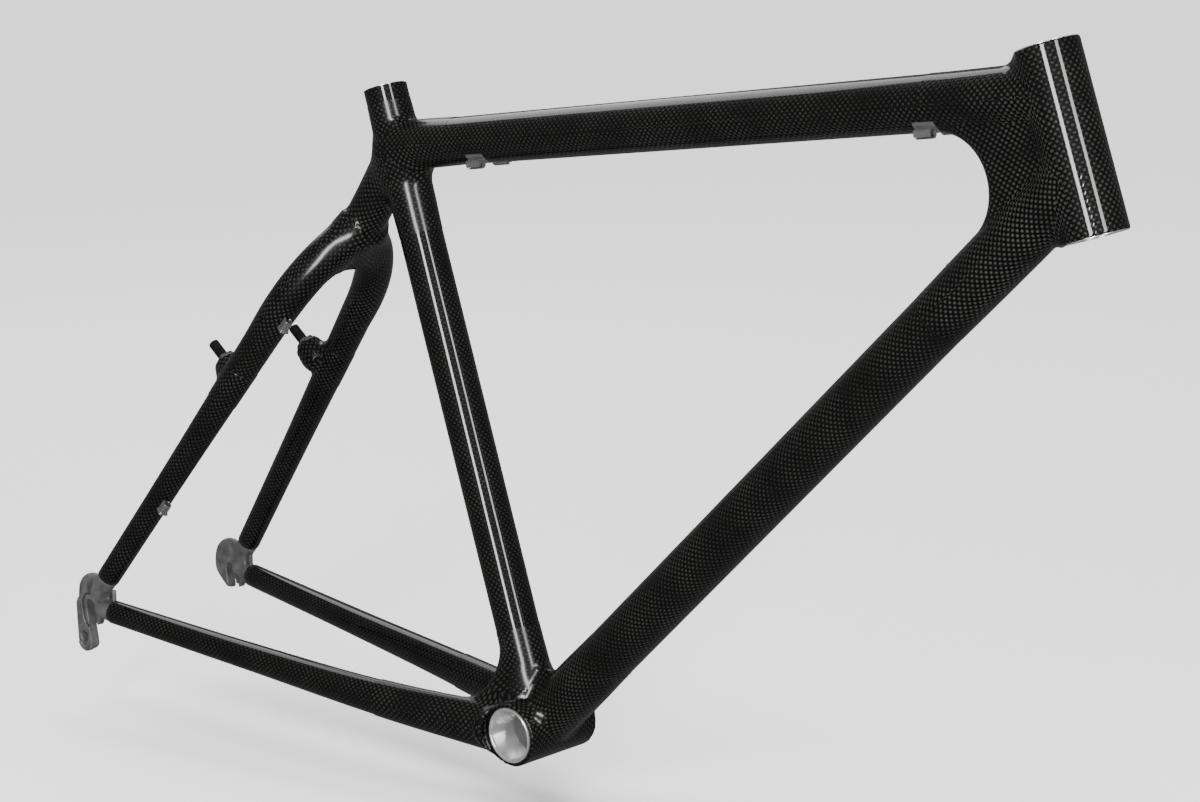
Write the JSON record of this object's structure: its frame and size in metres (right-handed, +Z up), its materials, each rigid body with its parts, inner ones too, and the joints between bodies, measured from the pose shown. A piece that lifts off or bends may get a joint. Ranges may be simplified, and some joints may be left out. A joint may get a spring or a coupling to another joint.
{
  "type": "bicycle frame",
  "caption": "Hard-tail mountain-bike frame in dark woven carbon with silver dropouts, brake studs, cable stops and a wishbone rear stay.",
  "frame": {"origin": "centre of the bottom bracket shell", "axes": "+X forwards towards the head tube, +Y to the rider's left along the bottom bracket, +Z up"},
  "size_m": [0.9298, 0.1614, 0.5353],
  "materials": {
    "carbon": "woven carbon under clear gloss lacquer",
    "alloy": "bead-blasted, matte",
    "machined_alloy": "turned, satin",
    "black_steel": "black oxide, satin",
    "spring_steel": "dull zinc",
    "nickel": "nickel plate, slightly worn"
  },
  "bodies": {
    "root": {"head_tube": "carbon", "top_tube": "carbon", "down_tube": "carbon", "seat_tube": "carbon", "head_joint_wrap": "carbon", "seat_joint_wrap": "carbon", "bottom_bracket_wrap": "carbon", "bottom_bracket_shell": "carbon", "chainstay_left": "carbon", "chainstay_right": "carbon", "seatstay_left": "carbon", "seatstay_right": "carbon", "monostay_yoke": "carbon", "brake_boss_left": "carbon", "brake_boss_right": "carbon", "dropout_left": "alloy", "dropout_right": "alloy", "headset_sleeve_lower": "machined_alloy", "headset_sleeve_upper": "machined_alloy", "seatpost_sleeve": "machined_alloy", "bottom_bracket_sleeve": "machined_alloy", "stud_insert_left": "machined_alloy", "stud_insert_right": "machined_alloy", "brake_stud_left": "black_steel", "brake_stud_right": "black_steel", "spring_plate_left": "spring_steel", "spring_plate_right": "spring_steel", "cable_stop_front_left": "nickel", "cable_stop_front_right": "nickel", "cable_stop_rear_left": "nickel", "cable_stop_rear_right": "nickel", "seatstay_guide_lower": "nickel", "seatstay_guide_upper": "nickel"}
  },
  "joints": []
}
